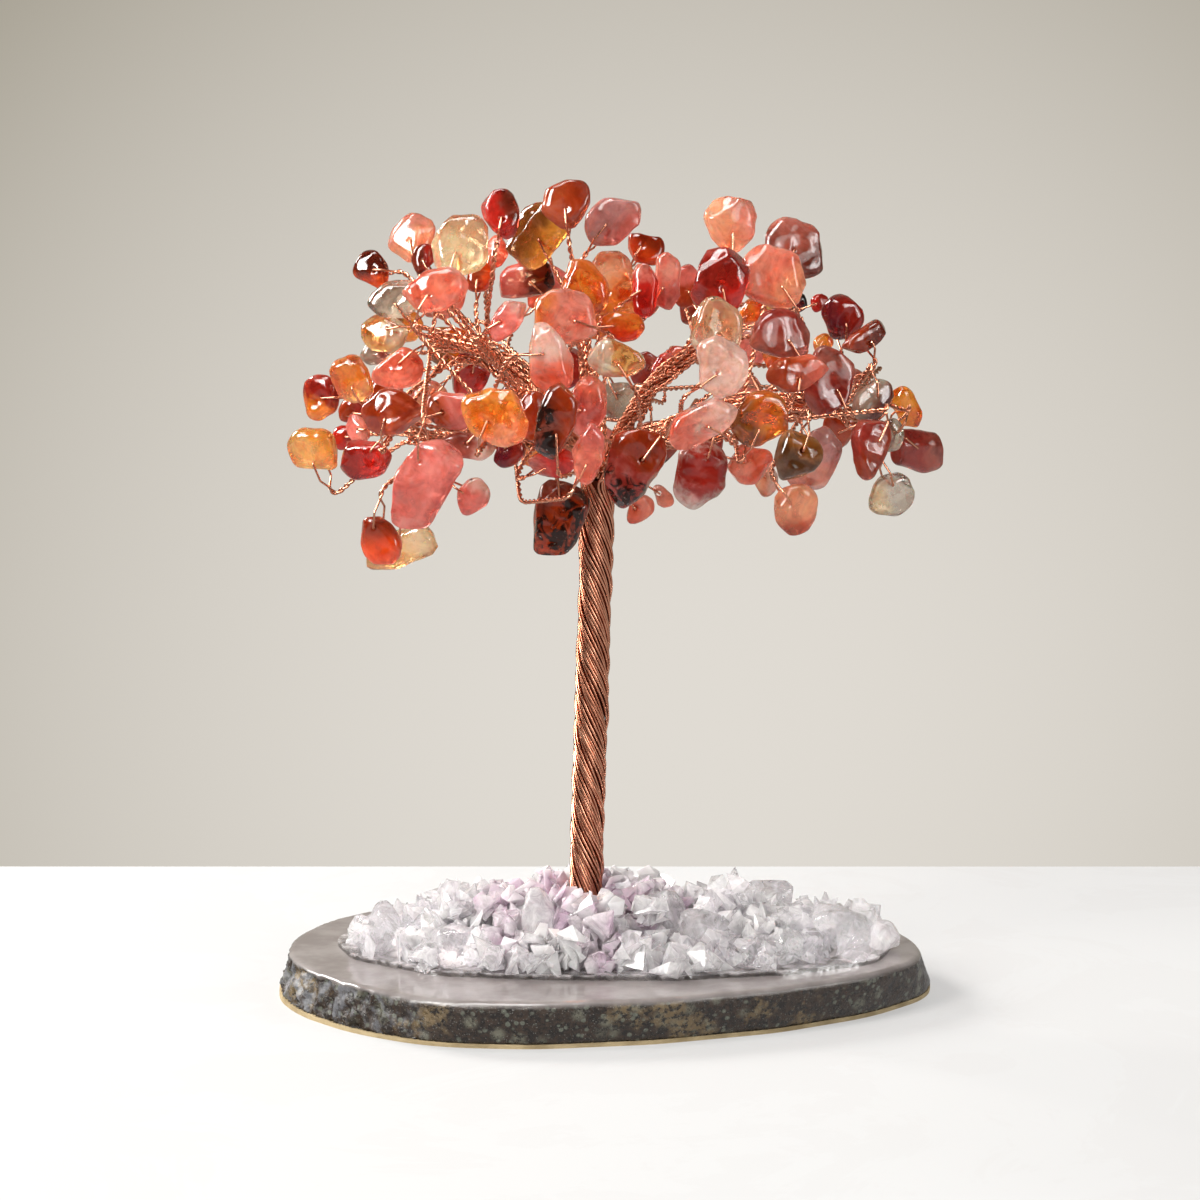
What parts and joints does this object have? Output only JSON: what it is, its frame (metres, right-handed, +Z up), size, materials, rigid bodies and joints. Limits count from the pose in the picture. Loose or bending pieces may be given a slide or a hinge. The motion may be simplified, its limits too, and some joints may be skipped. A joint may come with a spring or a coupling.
{
  "type": "gemstone tree ornament",
  "caption": "Wire tree of drilled tumbled stones on twisted copper limbs, its wound trunk set in crushed quartz on a polished stone slice.",
  "frame": {"origin": "middle of the underside, on the surface that the ornament stands on", "axes": "+Z up, -Y the front that the picture shows, +X the viewer's right"},
  "size_m": [0.124, 0.0842, 0.1521],
  "materials": {
    "coral_stone": "polished coral-pink carnelian",
    "red_stone": "polished deep red carnelian",
    "amber_stone": "polished amber-orange carnelian",
    "rust_stone": "polished rust-brown agate",
    "mauve_stone": "polished mauve agate",
    "clear_stone": "polished honey-clear chalcedony",
    "mottled_stone": "polished mottled agate with dark and pale patches",
    "copper_wire": "bright bare copper wire",
    "clear_quartz": "crushed clear quartz, glassy",
    "rose_quartz": "crushed rose quartz, glassy",
    "resin": "clear set resin",
    "slab_stone": "polished top and ground rim",
    "backing": "cream foam sheet"
  },
  "bodies": {
    "tree": {"amber_stones_left": "amber_stone", "amber_stones_right": "amber_stone", "back_left_eyes": "copper_wire", "back_left_limb": "copper_wire", "back_left_twists": "copper_wire", "back_right_eyes": "copper_wire", "back_right_limb": "copper_wire", "back_right_twists": "copper_wire", "backing_sheet": "backing", "base_slab": "slab_stone", "clear_stones_left": "clear_stone", "clear_stones_right": "clear_stone", "coral_stones_left": "coral_stone", "coral_stones_right": "coral_stone", "crown_eyes": "copper_wire", "crown_limb": "copper_wire", "crown_twists": "copper_wire", "crystal_chunks": "clear_quartz", "left_eyes": "copper_wire", "left_front_eyes": "copper_wire", "left_front_limb": "copper_wire", "left_front_twists": "copper_wire", "left_limb": "copper_wire", "left_twists": "copper_wire", "mauve_stones_left": "mauve_stone", "mauve_stones_right": "mauve_stone", "mottled_stones_left": "mottled_stone", "mottled_stones_right": "mottled_stone", "quartz_chips_back": "clear_quartz", "quartz_chips_front": "clear_quartz", "quartz_chips_left": "clear_quartz", "quartz_chips_right": "clear_quartz", "red_stones_left": "red_stone", "red_stones_right": "red_stone", "resin_bed": "resin", "right_eyes": "copper_wire", "right_front_eyes": "copper_wire", "right_front_limb": "copper_wire", "right_front_twists": "copper_wire", "right_limb": "copper_wire", "right_twists": "copper_wire", "rose_quartz_chips": "rose_quartz", "rust_stones_left": "rust_stone", "rust_stones_right": "rust_stone", "trunk_core": "copper_wire", "trunk_strands": "copper_wire"},
    "honey_drop_left": {"honey_drop_left": "amber_stone"},
    "cherry_drop_left": {"cherry_drop_left": "red_stone"},
    "rose_drop_left": {"rose_drop_left": "coral_stone"},
    "fire_drop_left": {"fire_drop_left": "rust_stone"},
    "sunlit_drop_left": {"sunlit_drop_left": "clear_stone"},
    "blush_drop_lone": {"blush_drop_lone": "coral_stone"},
    "charred_drop_front": {"charred_drop_front": "mottled_stone"},
    "banded_drop_right": {"banded_drop_right": "mottled_stone"},
    "peach_drop_right": {"peach_drop_right": "coral_stone"},
    "misty_drop_right": {"misty_drop_right": "clear_stone"}
  },
  "joints": [
    {"name": "honey_drop_left_swing", "type": "hinge", "parent": "tree", "child": "honey_drop_left", "pos_m": [-0.05286, 0.00167, 0.10043], "axis": [-0.3833, -0.917, -0.1103], "range_deg": [-30, 30]},
    {"name": "cherry_drop_left_swing", "type": "hinge", "parent": "tree", "child": "cherry_drop_left", "pos_m": [-0.04183, -0.01341, 0.1041], "axis": [-0.2725, -0.9607, 0.0536], "range_deg": [-30, 30]},
    {"name": "rose_drop_left_swing", "type": "hinge", "parent": "tree", "child": "rose_drop_left", "pos_m": [-0.03225, -0.02935, 0.10467], "axis": [-0.2873, -0.9568, 0.0437], "range_deg": [-30, 30]},
    {"name": "fire_drop_left_swing", "type": "hinge", "parent": "tree", "child": "fire_drop_left", "pos_m": [-0.04075, -0.02071, 0.09168], "axis": [-0.3194, -0.9444, -0.0782], "range_deg": [-30, 30]},
    {"name": "sunlit_drop_left_swing", "type": "hinge", "parent": "tree", "child": "sunlit_drop_left", "pos_m": [-0.03708, -0.00932, 0.08771], "axis": [-0.1275, -0.9782, -0.1639], "range_deg": [-30, 30]},
    {"name": "blush_drop_lone_swing", "type": "hinge", "parent": "tree", "child": "blush_drop_lone", "pos_m": [-0.02487, -0.02094, 0.09777], "axis": [-0.2734, -0.9599, 0.0618], "range_deg": [-30, 30]},
    {"name": "charred_drop_front_swing", "type": "hinge", "parent": "tree", "child": "charred_drop_front", "pos_m": [-0.00864, -0.017, 0.0967], "axis": [0.0846, -0.9945, 0.0623], "range_deg": [-30, 30]},
    {"name": "banded_drop_right_swing", "type": "hinge", "parent": "tree", "child": "banded_drop_right", "pos_m": [0.01759, -0.02074, 0.10411], "axis": [0.1351, -0.9908, 0.0117], "range_deg": [-30, 30]},
    {"name": "peach_drop_right_swing", "type": "hinge", "parent": "tree", "child": "peach_drop_right", "pos_m": [0.03243, -0.01989, 0.09588], "axis": [0.2773, -0.955, -0.105], "range_deg": [-30, 30]},
    {"name": "misty_drop_right_swing", "type": "hinge", "parent": "tree", "child": "misty_drop_right", "pos_m": [0.05149, -0.00362, 0.09667], "axis": [0.3678, -0.9285, -0.0514], "range_deg": [-30, 30]}
  ]
}
